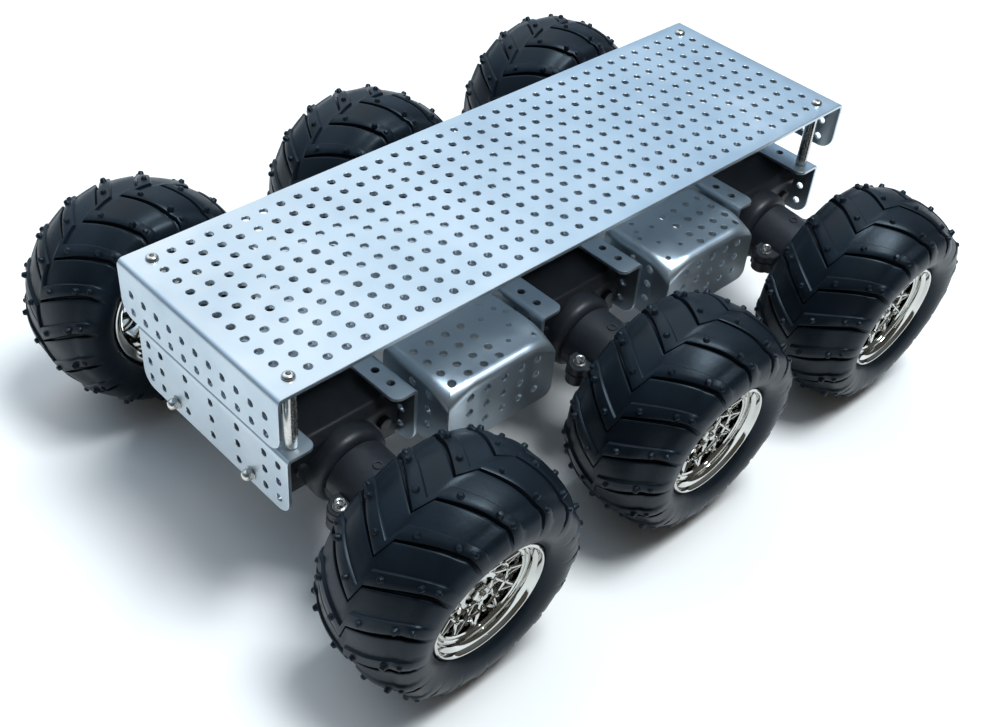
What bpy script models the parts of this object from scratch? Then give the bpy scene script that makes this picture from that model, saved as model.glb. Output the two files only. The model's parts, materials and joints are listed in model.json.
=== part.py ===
"""Six-wheel robot chassis: folded aluminium plates, six sprung gearmotor arms, six rubber tyres.

Frame: metres, +Z up. Origin on the ground, under the centre of the chassis.
X runs along the chassis (the two end plates face -X and +X), Y runs across it.
The object is modelled at its resting ride height, with every arm drooping by the same angle.
"""
import math

import bmesh
import bpy
from mathutils import Matrix, Vector

MM = 0.001
GAP = 0.3                      # clearance between touching pieces, mm

# ---------------------------------------------------------------- driving dimensions, mm
TOP_Z = 135.0                  # upper face of the top plate
SHEET = 2.0                    # aluminium sheet thickness
TOP_LENGTH = 385.0             # top plate, outside its two end flanges
TOP_WIDTH = 119.0
TOP_FLANGE = 30.0              # height of the end flanges
TOP_SCREW_X = 180.0            # corner screws
TOP_SCREW_Y = 50.0
DECK_DROP = 37.0               # top plate upper face down to the deck's upper face
SPINE_HALF = 24.0              # half width of the deck's spine
SPINE_LENGTH = 374.0
POD_X0, POD_X1 = 41.0, 110.0   # side pods between the wheels
POD_Y = 72.0
POD_BEND = 5.0                 # outside bend radius of the pods
FLANGE_BOTTOM = 61.5           # lower edge of every folded flange, height above ground
BRACKET_LENGTH = 72.5          # axle brackets, along X
BRACKET_OUTER_X = 187.5        # outer face of the end plates
BRACKET_HALF_WIDTH = 57.0
BRACKET_CORNER = 8.0
BAY_HALF = 21.5                # half length of the slot each motor arm sits in
BAY_Y = 25.0                   # inner edge of that slot
AXLE_X = (-150.0, 0.0, 150.0)  # axle stations
PIVOT_Y = 29.3                 # suspension pivots
PIVOT_BOLT_R = 1.5
PIVOT_BORE_R = 1.8
DROOP_DEG = 4.5                # arm angle below horizontal at rest
ARM_LENGTH = 90.5              # pivot to wheel mid-plane
CARRIER_HALF = 32.0            # half length of the arm's pivot block, along X
TUBE_R = 17.0                  # motor tube, outside
TUBE_BORE_R = 12.8
TUBE_END = 58.5                # outer end of the tube, from the pivot
BULK_R = 20.3                  # thick root of the tube
BULK_END = 26.0
LUG_A = 41.5                   # clamp lugs, from the pivot
LUG_X = 20.5
MOTOR_R = 12.4
TYRE_R = 60.0
TYRE_HALF = 31.0
RIM_HALF = 29.2
RIM_LIP_R = 31.0
RIM_BARREL_R = 27.2
SPRING_Y = 12.0                # spring centre line from the mid-plane
SPRING_R = 3.6                 # coil mean radius
SPRING_WIRE_R = 0.55
SPRING_TURNS = 5

DECK_TOP = TOP_Z - DECK_DROP
BRACKET_TOP = DECK_TOP - SHEET - GAP
DROOP = math.radians(DROOP_DEG)


# ---------------------------------------------------------------- helpers
def clear():
    for ob in list(bpy.data.objects):
        bpy.data.objects.remove(ob, do_unlink=True)


def material(name, colour, roughness, metallic):
    m = bpy.data.materials.new(name)
    m.use_nodes = True
    b = m.node_tree.nodes["Principled BSDF"]
    b.inputs["Base Color"].default_value = (*colour, 1.0)
    b.inputs["Roughness"].default_value = roughness
    b.inputs["Metallic"].default_value = metallic
    m.diffuse_color = (*colour, 1.0)
    return m


def new_object(name, bm, mat=None, smooth=False):
    bmesh.ops.recalc_face_normals(bm, faces=bm.faces)
    me = bpy.data.meshes.new(name)
    bm.to_mesh(me)
    bm.free()
    ob = bpy.data.objects.new(name, me)
    bpy.context.scene.collection.objects.link(ob)
    if mat:
        me.materials.append(mat)
    if smooth:
        me.shade_smooth()
        me.set_sharp_from_angle(angle=math.radians(35))
    return ob


def box(x0, x1, y0, y1, z0, z1):
    bm = bmesh.new()
    bmesh.ops.create_cube(bm, size=1.0)
    bmesh.ops.scale(bm, vec=Vector((x1 - x0, y1 - y0, z1 - z0)) * MM, verts=bm.verts)
    bmesh.ops.translate(bm, vec=Vector((x0 + x1, y0 + y1, z0 + z1)) * (MM / 2), verts=bm.verts)
    return bm


def rod(radius, p0, p1, sides, turn=0.0):
    """Prism with round or polygonal section between two points, mm."""
    a, b = Vector(p0) * MM, Vector(p1) * MM
    bm = bmesh.new()
    bmesh.ops.create_cone(bm, cap_ends=True, segments=sides, radius1=radius * MM,
                          radius2=radius * MM, depth=(b - a).length)
    rot = Vector((0, 0, 1)).rotation_difference(b - a).to_matrix().to_4x4()
    bm.transform(Matrix.Translation((a + b) / 2) @ rot @ Matrix.Rotation(turn, 4, "Z"))
    return bm


def prism(points, axis, lo, hi):
    """Extrude a closed outline. axis X takes (y, z) points, axis Y takes (x, z) points."""
    bm = bmesh.new()
    if axis == "X":
        ring = [bm.verts.new(Vector((lo, p[0], p[1])) * MM) for p in points]
        step = Vector(((hi - lo) * MM, 0, 0))
    else:
        ring = [bm.verts.new(Vector((p[0], lo, p[1])) * MM) for p in points]
        step = Vector((0, (hi - lo) * MM, 0))
    face = bm.faces.new(ring)
    out = bmesh.ops.extrude_face_region(bm, geom=[face])
    bmesh.ops.translate(bm, vec=step, verts=[v for v in out["geom"] if isinstance(v, bmesh.types.BMVert)])
    return bm


def revolve(profile, steps):
    """Closed profile of (radius, y) points turned about the Y axis."""
    bm = bmesh.new()
    rings = []
    for r, y in profile:
        rings.append([bm.verts.new(Vector((r * math.sin(t), y, r * math.cos(t))) * MM)
                      for t in (2 * math.pi * k / steps for k in range(steps))])
    n = len(rings)
    for i in range(n):
        a, b = rings[i], rings[(i + 1) % n]
        for k in range(steps):
            bm.faces.new((a[k], a[(k + 1) % steps], b[(k + 1) % steps], b[k]))
    return bm


def combine(ob, bm, op):
    """Apply one exact Boolean with a temporary cutter."""
    cutter = new_object("cutter", bm)
    cutter.hide_render = True
    cutter.display_type = "WIRE"
    mod = ob.modifiers.new("cut", "BOOLEAN")
    mod.operation = op
    mod.solver = "EXACT"
    mod.object = cutter
    bpy.context.view_layer.update()
    dg = bpy.context.evaluated_depsgraph_get()
    me = bpy.data.meshes.new_from_object(ob.evaluated_get(dg))
    ob.modifiers.remove(mod)
    mats = list(ob.data.materials)
    ob.data = me
    me.materials.clear()
    for m in mats:
        me.materials.append(m)
    for p in me.polygons:
        p.material_index = 0
    bpy.data.objects.remove(cutter, do_unlink=True)


def arc(cx, cy, r, a0, a1, n):
    return [(cx + r * math.cos(math.radians(a0 + (a1 - a0) * k / n)),
             cy + r * math.sin(math.radians(a0 + (a1 - a0) * k / n))) for k in range(n + 1)]


def smooth(ob, angle=35):
    ob.data.shade_smooth()
    ob.data.set_sharp_from_angle(angle=math.radians(angle))


# ---------------------------------------------------------------- sheet metal
def channel_profile(x0, x1, top, bottom, bend, t):
    """Section of an upside-down U: flat web with both ends folded down."""
    outer = [(x0, bottom)] + arc(x0 + bend, top - bend, bend, 180, 90, 3) \
        + arc(x1 - bend, top - bend, bend, 90, 0, 3) + [(x1, bottom)]
    r = max(bend - t, 0.4)
    inner = [(x1 - t, bottom)] + arc(x1 - t - r, top - t - r, r, 0, 90, 3) \
        + arc(x0 + t + r, top - t - r, r, 90, 180, 3) + [(x0 + t, bottom)]
    return outer + inner


def end_outline(half, bottom, top, radius):
    """Plate outline seen along X: square top, rounded lower corners."""
    return [(-half, top), (half, top)] + arc(half - radius, bottom + radius, radius, 0, -90, 4) \
        + arc(-half + radius, bottom + radius, radius, -90, -180, 4)


def make_top_plate(mat):
    lx = TOP_LENGTH / 2
    ob = new_object("top_plate", prism(channel_profile(-lx, lx, TOP_Z, TOP_Z - TOP_FLANGE, 3.2, SHEET),
                                       "Y", -TOP_WIDTH / 2, TOP_WIDTH / 2), mat)
    combine(ob, prism(end_outline(TOP_WIDTH / 2, TOP_Z - TOP_FLANGE, TOP_Z + 5, 8.0),
                      "X", -lx - 5, lx + 5), "INTERSECT")
    for sx in (-1, 1):
        for sy in (-1, 1):
            x, y = sx * TOP_SCREW_X, sy * TOP_SCREW_Y
            combine(ob, rod(1.8, (x, y, TOP_Z - 6), (x, y, TOP_Z + 6), 10), "DIFFERENCE")
    return ob


def make_bracket(name, x0, x1, bay_x, stud_x, mat):
    """Axle bracket: web with an end plate and a bulkhead folded down, and one slot per arm."""
    ob = new_object(name, prism(channel_profile(x0, x1, BRACKET_TOP, FLANGE_BOTTOM, 2.6, SHEET),
                                "Y", -BRACKET_HALF_WIDTH, BRACKET_HALF_WIDTH), mat)
    for sy in (-1, 1):
        combine(ob, rod(PIVOT_BORE_R, (x0 - 3, sy * PIVOT_Y, PIVOT_Z),
                        (x1 + 4, sy * PIVOT_Y, PIVOT_Z), 12, 0.05), "DIFFERENCE")
    for sy in (-1, 1):
        for sx in stud_x:
            combine(ob, rod(1.8, (sx, sy * TOP_SCREW_Y, BRACKET_TOP - 5),
                            (sx, sy * TOP_SCREW_Y, BRACKET_TOP + 5), 8), "DIFFERENCE")
    for sy in (-1, 1):
        ys = sorted((sy * BAY_Y, sy * (BRACKET_HALF_WIDTH + 3)))
        combine(ob, box(bay_x - BAY_HALF, bay_x + BAY_HALF, ys[0], ys[1],
                        BRACKET_TOP - 4, BRACKET_TOP + 3), "DIFFERENCE")
    combine(ob, prism(end_outline(BRACKET_HALF_WIDTH + 0.01, FLANGE_BOTTOM - 0.01, BRACKET_TOP + 5, BRACKET_CORNER),
                      "X", x0 - 5, x1 + 5), "INTERSECT")
    return ob


def pod_block(x0, x1, y0, y1, z0, z1, bend, sy):
    """Block with its three outer top edges and two outer upright edges rounded."""
    bm = box(x0, x1, min(sy * y0, sy * y1), max(sy * y0, sy * y1), z0, z1)
    if bend > 0.3:
        picked = []
        for e in bm.edges:
            m = (e.verts[0].co + e.verts[1].co) / 2 / MM
            on_top = abs(m.z - z1) < 0.01 and abs(m.y - sy * y0) > 0.01
            upright = abs(m.y - sy * y1) < 0.01 and abs(m.z - (z0 + z1) / 2) < 0.01
            if on_top or upright:
                picked.append(e)
        bmesh.ops.bevel(bm, geom=picked, offset=bend * MM, segments=2, profile=0.5, affect="EDGES")
    return bm


def make_deck(mat):
    """Deck: a spine along the chassis, with four side pods whose edges are folded down."""
    ob = new_object("deck_plate", box(-SPINE_LENGTH / 2, SPINE_LENGTH / 2, -SPINE_HALF, SPINE_HALF,
                                      DECK_TOP - SHEET, DECK_TOP), mat)
    for sx in (-1, 1):
        x0, x1 = sorted((sx * POD_X0, sx * POD_X1))
        for sy in (-1, 1):
            combine(ob, pod_block(x0, x1, SPINE_HALF - 3, POD_Y, FLANGE_BOTTOM, DECK_TOP,
                                  POD_BEND, sy), "UNION")
    for sx in (-1, 1):
        x0, x1 = sorted((sx * POD_X0, sx * POD_X1))
        for sy in (-1, 1):
            combine(ob, pod_block(x0 + SHEET, x1 - SHEET, SPINE_HALF - 8, POD_Y - SHEET,
                                  FLANGE_BOTTOM - 10, DECK_TOP - SHEET, POD_BEND - SHEET, sy),
                    "DIFFERENCE")
    for sy in (-1, 1):
        combine(ob, rod(PIVOT_BORE_R + 0.5, (-130, sy * PIVOT_Y, PIVOT_Z), (130, sy * PIVOT_Y, PIVOT_Z), 12),
                "DIFFERENCE")
    return ob


# ---------------------------------------------------------------- fixed hardware
def make_standoff(name, x, y, mat):
    """Hexagonal pillar with a threaded bore on top and a stud through the bracket below."""
    ob = new_object(name, rod(3.2, (x, y, BRACKET_TOP + GAP), (x, y, TOP_Z - SHEET - GAP), 6, math.radians(30)), mat)
    combine(ob, rod(1.45, (x, y, BRACKET_TOP - 6), (x, y, BRACKET_TOP + 3), 8), "UNION")
    combine(ob, rod(1.75, (x, y, TOP_Z - 14), (x, y, TOP_Z + 1), 8), "DIFFERENCE")
    return ob


def make_top_screw(name, x, y, mat):
    """Button-head screw through the top plate into a standoff."""
    prof = [(0.0, TOP_Z + 1.9), (1.6, TOP_Z + 1.75), (2.7, TOP_Z + 1.1), (3.1, TOP_Z + GAP),
            (1.4, TOP_Z + GAP), (1.4, TOP_Z - 12)]
    bm = bmesh.new()
    n = 10
    rings = []
    for r, z in prof:
        if r == 0.0:
            rings.append([bm.verts.new(Vector((x, y, z)) * MM)])
        else:
            rings.append([bm.verts.new(Vector((x + r * math.cos(2 * math.pi * k / n),
                                               y + r * math.sin(2 * math.pi * k / n), z)) * MM)
                          for k in range(n)])
    for a, b in zip(rings, rings[1:]):
        for k in range(n):
            j = (k + 1) % n
            if len(a) == 1:
                bm.faces.new((a[0], b[j], b[k]))
            else:
                bm.faces.new((a[k], a[j], b[j], b[k]))
    bm.faces.new(rings[-1])
    return new_object(name, bm, mat, smooth=True)


def make_pivot_bolt(name, sy, mat):
    """Long bolt on which the three arms of one side swing, with a domed head at the -X end."""
    y, z, end = sy * PIVOT_Y, PIVOT_Z, BRACKET_OUTER_X
    ob = new_object(name, rod(PIVOT_BOLT_R, (-end - 1.0, y, z), (end + 3.2, y, z), 12), mat)
    head = bmesh.new()
    prof = [(3.1, -end - GAP), (3.1, -end - 2.6), (2.3, -end - 3.9), (1.0, -end - 4.7)]
    n = 12
    rings = [[head.verts.new(Vector((x, y + r * math.cos(2 * math.pi * k / n),
                                     z + r * math.sin(2 * math.pi * k / n))) * MM) for k in range(n)]
             for r, x in prof]
    for a, b in zip(rings, rings[1:]):
        for k in range(n):
            head.faces.new((a[k], a[(k + 1) % n], b[(k + 1) % n], b[k]))
    head.faces.new(rings[0])
    head.faces.new(rings[-1])
    combine(ob, head, "UNION")
    smooth(ob)
    return ob


def make_pivot_nut(name, sy, mat):
    """Domed nut on the +X end of the pivot bolt."""
    y, z, end = sy * PIVOT_Y, PIVOT_Z, BRACKET_OUTER_X
    bm = bmesh.new()
    prof = [(3.1, end + GAP), (3.1, end + 2.8), (2.3, end + 4.2), (1.0, end + 5.0)]
    n = 12
    rings = [[bm.verts.new(Vector((x, y + r * math.cos(2 * math.pi * k / n),
                                   z + r * math.sin(2 * math.pi * k / n))) * MM) for k in range(n)]
             for r, x in prof]
    for a, b in zip(rings, rings[1:]):
        for k in range(n):
            bm.faces.new((a[k], a[(k + 1) % n], b[(k + 1) % n], b[k]))
    bm.faces.new(rings[0])
    bm.faces.new(rings[-1])
    ob = new_object(name, bm, mat)
    combine(ob, rod(PIVOT_BORE_R, (end - 2, y, z), (end + 3.6, y, z), 12), "DIFFERENCE")
    smooth(ob)
    return ob


# ---------------------------------------------------------------- arm, in its own frame
# The arm's frame has its origin on the pivot axis. +Y runs outboard along the motor,
# X is along the chassis and Z is up, all in mm.
def make_arm(name, mat):
    """Pivot block, thick tube root and the lower half of the motor tube."""
    outline = [(-12, -1), (-7, -8), (8, -8), (17, -5), (17, 18), (13, 22), (-9, 22), (-12, 19)]
    ob = new_object(name, prism(outline, "X", -CARRIER_HALF, CARRIER_HALF), mat)
    combine(ob, rod(BULK_R, (0, 11, 0), (0, BULK_END, 0), 18), "UNION")
    lower = rod(TUBE_R, (0, BULK_END - 2, 0), (0, TUBE_END, 0), 18)
    combine(ob, lower, "UNION")
    combine(ob, box(-LUG_X - 5, LUG_X + 5, LUG_A - 6, LUG_A + 6, -7, -GAP / 2), "UNION")
    combine(ob, box(-40, 40, BULK_END + GAP, TUBE_END + 5, -GAP / 2, 40), "DIFFERENCE")
    combine(ob, rod(TUBE_BORE_R, (0, 18.2, 0), (0, TUBE_END + 5, 0), 16), "DIFFERENCE")
    # spring tongue, inboard of the pivot
    combine(ob, box(-5, 5, -22, -10, -3.5, 0), "UNION")
    combine(ob, rod(PIVOT_BORE_R, (-CARRIER_HALF - 5, 0, 0), (CARRIER_HALF + 5, 0, 0), 12), "DIFFERENCE")
    for s in (-1, 1):
        combine(ob, rod(1.6, (s * LUG_X, LUG_A, -12), (s * LUG_X, LUG_A, 3), 8), "DIFFERENCE")
    return ob


def make_clamp(name, mat):
    """Upper half of the motor tube, closed on the lower half by one screw in each lug."""
    ob = new_object(name, rod(TUBE_R, (0, BULK_END + GAP, 0), (0, TUBE_END, 0), 18), mat)
    combine(ob, box(-LUG_X - 5, LUG_X + 5, LUG_A - 6, LUG_A + 6, GAP / 2, 5), "UNION")
    combine(ob, box(-40, 40, BULK_END - 5, TUBE_END + 5, -40, GAP / 2), "DIFFERENCE")
    combine(ob, rod(TUBE_BORE_R, (0, BULK_END - 5, 0), (0, TUBE_END + 5, 0), 16), "DIFFERENCE")
    for s in (-1, 1):
        combine(ob, rod(1.6, (s * LUG_X, LUG_A, -3), (s * LUG_X, LUG_A, 12), 8), "DIFFERENCE")
    return ob


def make_motor(name, mat):
    """Geared motor: plain can with a shaft boss, bored for the output shaft."""
    ob = new_object(name, rod(MOTOR_R, (0, 18.6, 0), (0, 56.0, 0), 16), mat)
    combine(ob, rod(4.0, (0, 55.0, 0), (0, 58.2, 0), 8), "UNION")
    combine(ob, rod(2.45, (0, 46.0, 0), (0, 60.0, 0), 8), "DIFFERENCE")
    smooth(ob)
    return ob


def make_spring(name, mat, z0, z1):
    """Coil spring with closed ends, centred on the world position it is placed at."""
    steps = SPRING_TURNS * 7
    sides = 3
    bm = bmesh.new()
    rings = []
    for i in range(steps + 1):
        u = i / steps
        t = 2 * math.pi * SPRING_TURNS * u
        z = z0 + SPRING_WIRE_R + (z1 - z0 - 2 * SPRING_WIRE_R) * u
        c = Vector((SPRING_R * math.cos(t), SPRING_R * math.sin(t), z))
        out = Vector((math.cos(t), math.sin(t), 0))
        ring = []
        for k in range(sides):
            q = 2 * math.pi * (k + 0.5) / sides
            p = c + out * (SPRING_WIRE_R * math.cos(q)) + Vector((0, 0, 1)) * (SPRING_WIRE_R * math.sin(q))
            ring.append(bm.verts.new(p * MM))
        rings.append(ring)
    for a, b in zip(rings, rings[1:]):
        for k in range(sides):
            bm.faces.new((a[k], a[(k + 1) % sides], b[(k + 1) % sides], b[k]))
    bm.faces.new(rings[0])
    bm.faces.new(rings[-1])
    return new_object(name, bm, mat, smooth=True)


# ---------------------------------------------------------------- wheel, in its own frame
# The wheel's frame has its origin at the wheel's centre, with +Y outboard along the axle.
def make_axle_hub(name, mat):
    """Output shaft, hexagonal wheel adapter and the wheel nut in one turning piece."""
    a = ARM_LENGTH
    ob = new_object(name, rod(2.0, (0, 47.0 - a, 0), (0, 109.0 - a, 0), 8), mat)
    combine(ob, rod(6.9, (0, 62.0 - a, 0), (0, 103.6 - a, 0), 6), "UNION")
    combine(ob, rod(4.6, (0, 107.4 - a, 0), (0, 112.0 - a, 0), 6), "UNION")
    return ob


TYRE_PROFILE = [(31.7, 27.2), (36.0, 30.8), (46.0, 30.8), (54.5, 26.5), (58.6, 19.0), (60.0, 7.0)]
TYRE_STEPS = 20


def make_tyre(name, mat):
    """Hollow tyre: rounded crown and sidewalls, beads on the rim, open towards the rim inside."""
    right = TYRE_PROFILE
    left = [(r, -y) for r, y in reversed(TYRE_PROFILE)]
    prof = right + left + [(27.8, -25.1), (53.5, -15.0), (53.5, 15.0), (27.8, 25.1)]
    return new_object(name, revolve(prof, TYRE_STEPS), mat, smooth=True)


def make_rim(name, mat):
    """Rim: barrel with a lip at each edge, dished web and lightening windows."""
    prof = [(RIM_LIP_R, RIM_HALF), (RIM_LIP_R, 27.5), (RIM_BARREL_R, 25.5), (RIM_BARREL_R, -25.5),
            (RIM_LIP_R, -27.5), (RIM_LIP_R, -RIM_HALF), (25.2, -24.5),
            (25.2, 13.5), (2.4, 13.5), (2.4, 16.5), (25.2, 16.5), (25.2, 24.5)]
    ob = new_object(name, revolve(prof, 16), mat)
    for k in range(5):
        t = 2 * math.pi * k / 5
        c = (16.0 * math.sin(t), 16.0 * math.cos(t))
        combine(ob, rod(6.0, (c[0], 8, c[1]), (c[0], 22, c[1]), 5), "DIFFERENCE")
    smooth(ob)
    return ob


# ---------------------------------------------------------------- assembly
def wheel_centre_height():
    """Height at which the tilted tyre just touches the ground."""
    low = 0.0
    for r, y in TYRE_PROFILE:
        for k in range(TYRE_STEPS):
            t = 2 * math.pi * k / TYRE_STEPS
            for s in (-1, 1):
                low = min(low, r * math.cos(t) * math.cos(DROOP) - s * y * math.sin(DROOP))
    return -low


WHEEL_Z = wheel_centre_height()
PIVOT_Z = WHEEL_Z + ARM_LENGTH * math.sin(DROOP)


def copy_of(ob, name):
    new = bpy.data.objects.new(name, ob.data)
    bpy.context.scene.collection.objects.link(new)
    return new


def empty(name, matrix, parent=None):
    e = bpy.data.objects.new(name, None)
    bpy.context.scene.collection.objects.link(e)
    e.empty_display_size = 0.02
    if parent:
        e.parent = parent
    e.matrix_world = matrix
    bpy.context.view_layer.update()
    return e


def build():
    clear()
    alu = material("anodised_aluminium", (0.62, 0.68, 0.75), 0.38, 1.0)
    steel = material("zinc_steel", (0.55, 0.55, 0.54), 0.3, 1.0)
    black = material("black_plastic", (0.012, 0.013, 0.016), 0.45, 0.0)
    rubber = material("tyre_rubber", (0.014, 0.017, 0.021), 0.55, 0.0)
    chrome = material("chrome", (0.8, 0.8, 0.8), 0.08, 1.0)
    can = material("motor_can", (0.5, 0.5, 0.5), 0.35, 1.0)

    make_top_plate(alu)
    make_deck(alu)
    outer, length = BRACKET_OUTER_X, BRACKET_LENGTH
    make_bracket("axle_bracket_front", -outer, -outer + length, AXLE_X[0], (-TOP_SCREW_X,), alu)
    make_bracket("axle_bracket_mid", -length / 2, length / 2, AXLE_X[1], (), alu)
    make_bracket("axle_bracket_rear", outer - length, outer, AXLE_X[2], (TOP_SCREW_X,), alu)
    for ex, sx in (("front", -1), ("rear", 1)):
        for ey, sy in (("right", -1), ("left", 1)):
            x, y = sx * TOP_SCREW_X, sy * TOP_SCREW_Y
            make_standoff(f"standoff_{ex}_{ey}", x, y, steel)
            make_top_screw(f"top_screw_{ex}_{ey}", x, y, steel)
    for ey, sy in (("right", -1), ("left", 1)):
        make_pivot_bolt(f"pivot_bolt_{ey}", sy, steel)
        make_pivot_nut(f"pivot_nut_{ey}", sy, steel)

    spring_top = BRACKET_TOP - SHEET - GAP
    spring_low = PIVOT_Z + GAP + 17.3 * math.sin(DROOP) + 0.4
    first = {}
    for ex, x in zip(("front", "mid", "rear"), AXLE_X):
        for ey, sy in (("right", -1), ("left", 1)):
            tag = f"{ex}_{ey}"
            turn = Matrix.Identity(4) if sy > 0 else Matrix.Rotation(math.pi, 4, "Z")
            place = Matrix.Translation(Vector((x, sy * PIVOT_Y, PIVOT_Z)) * MM) @ turn \
                @ Matrix.Rotation(-DROOP, 4, "X")
            pivot = empty(f"pivot_{tag}", place)
            hub = empty(f"wheel_{tag}_axis",
                        place @ Matrix.Translation(Vector((0, ARM_LENGTH, 0)) * MM), pivot)
            for kind, maker, mat, parent in (
                    ("arm", make_arm, black, pivot), ("motor_clamp", make_clamp, black, pivot),
                    ("gearmotor", make_motor, can, pivot), ("axle_hub", make_axle_hub, steel, hub),
                    ("rim", make_rim, chrome, hub), ("tyre", make_tyre, rubber, hub)):
                name = f"{kind}_{tag}"
                if kind in first:
                    ob = copy_of(first[kind], name)
                else:
                    ob = first[kind] = maker(name, mat)
                    if kind in ("arm", "motor_clamp"):
                        smooth(ob)
                ob.parent = parent
                ob.matrix_parent_inverse = Matrix.Identity(4)
            name = f"spring_{tag}"
            if "spring" in first:
                sp = copy_of(first["spring"], name)
            else:
                sp = first["spring"] = make_spring(name, steel, 0.0, spring_top - spring_low)
            sp.location = Vector((x, sy * SPRING_Y, spring_low)) * MM
    bpy.context.view_layer.update()


build()
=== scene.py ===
import json
import math

import bmesh
import bpy
import numpy as np
from mathutils import Matrix, Vector
from mathutils.geometry import delaunay_2d_cdt


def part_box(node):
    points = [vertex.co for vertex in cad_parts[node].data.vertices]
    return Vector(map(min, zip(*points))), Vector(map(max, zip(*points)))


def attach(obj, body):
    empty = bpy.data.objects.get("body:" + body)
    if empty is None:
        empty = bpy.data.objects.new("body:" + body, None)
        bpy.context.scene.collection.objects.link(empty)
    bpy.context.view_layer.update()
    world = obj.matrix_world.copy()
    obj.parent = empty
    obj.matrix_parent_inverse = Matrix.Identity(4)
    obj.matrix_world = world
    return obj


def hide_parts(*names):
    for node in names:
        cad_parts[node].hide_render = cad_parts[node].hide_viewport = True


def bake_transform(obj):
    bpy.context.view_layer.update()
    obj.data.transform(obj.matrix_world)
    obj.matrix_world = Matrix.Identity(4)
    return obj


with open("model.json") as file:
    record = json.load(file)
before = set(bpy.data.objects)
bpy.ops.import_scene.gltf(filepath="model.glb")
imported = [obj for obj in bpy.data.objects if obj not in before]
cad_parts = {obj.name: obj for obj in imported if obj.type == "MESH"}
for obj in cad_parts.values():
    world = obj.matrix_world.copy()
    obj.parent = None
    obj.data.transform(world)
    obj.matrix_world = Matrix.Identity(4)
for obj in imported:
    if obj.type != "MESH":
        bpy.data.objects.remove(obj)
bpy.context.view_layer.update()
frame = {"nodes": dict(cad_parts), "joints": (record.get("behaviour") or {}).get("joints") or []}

MM = 0.001
PI = math.pi
SC = bpy.context.scene
JOINT = {j["name"]: j for j in frame["joints"]}
TAGS = [f"{e}_{s}" for e in ("front", "mid", "rear") for s in ("right", "left")]

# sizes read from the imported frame, in mm
top_lo, top_hi = (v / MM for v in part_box("top_plate"))
TOP_Z, FLANGE_Z = top_hi.z, top_lo.z
TOP_HX, TOP_HY = top_hi.x, top_hi.y
br_lo, br_hi = (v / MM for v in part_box("axle_bracket_front"))
BR_X0, BR_X1, BR_HY, BR_TOP, LOW_Z = br_lo.x, br_hi.x, br_hi.y, br_hi.z, br_lo.z
DECK_Z = (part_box("deck_plate")[1] / MM).z
DECK_HX = (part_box("deck_plate")[1] / MM).x
POD_Y = (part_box("deck_plate")[1] / MM).y
SHEET = 2.0
POD_X0, POD_X1 = 41.0, 110.0
PIVOT = Vector(JOINT["arm_swing_front_right"]["pos_m"]) / MM
PIVOT_Y, PIVOT_Z = abs(PIVOT.y), PIVOT.z
ARM = 90.5
DROOP = math.radians(4.5)


# ------------------------------------------------------------------ materials
class Mat:
    def __init__(self, name):
        self.m = bpy.data.materials.new(name)
        self.m.use_nodes = True
        self.t = self.m.node_tree
        self.b = self.t.nodes["Principled BSDF"]
        self.co = self.t.nodes.new("ShaderNodeTexCoord").outputs["Object"]

    def set(self, **k):
        for n, v in k.items():
            s = self.b.inputs[n.replace("_", " ")]
            s.default_value = (*v, 1.0) if isinstance(v, tuple) else v

    def scaled(self, s):
        n = self.t.nodes.new("ShaderNodeMapping")
        n.inputs["Scale"].default_value = s
        self.t.links.new(self.co, n.inputs["Vector"])
        return n.outputs["Vector"]

    def noise(self, scale, detail=4, rough=0.55, stretch=(1, 1, 1)):
        n = self.t.nodes.new("ShaderNodeTexNoise")
        n.inputs["Scale"].default_value = scale
        n.inputs["Detail"].default_value = detail
        n.inputs["Roughness"].default_value = rough
        self.t.links.new(self.scaled(stretch), n.inputs["Vector"])
        return n.outputs["Fac"]

    def ramp(self, fac, stops):
        n = self.t.nodes.new("ShaderNodeValToRGB")
        e = n.color_ramp.elements
        while len(e) < len(stops):
            e.new(0.5)
        for i, (p, c) in enumerate(stops):
            e[i].position = p
            e[i].color = (*c, 1) if isinstance(c, tuple) else (c, c, c, 1)
        self.t.links.new(fac, n.inputs["Fac"])
        return n.outputs["Color"]

    def link(self, out, socket):
        self.t.links.new(out, self.b.inputs[socket])

    def bump(self, *layers):
        prev = None
        for fac, strength, dist in layers:
            n = self.t.nodes.new("ShaderNodeBump")
            n.inputs["Strength"].default_value = strength
            n.inputs["Distance"].default_value = dist
            self.t.links.new(fac, n.inputs["Height"])
            if prev:
                self.t.links.new(prev, n.inputs["Normal"])
            prev = n.outputs["Normal"]
        self.link(prev, "Normal")


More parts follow.
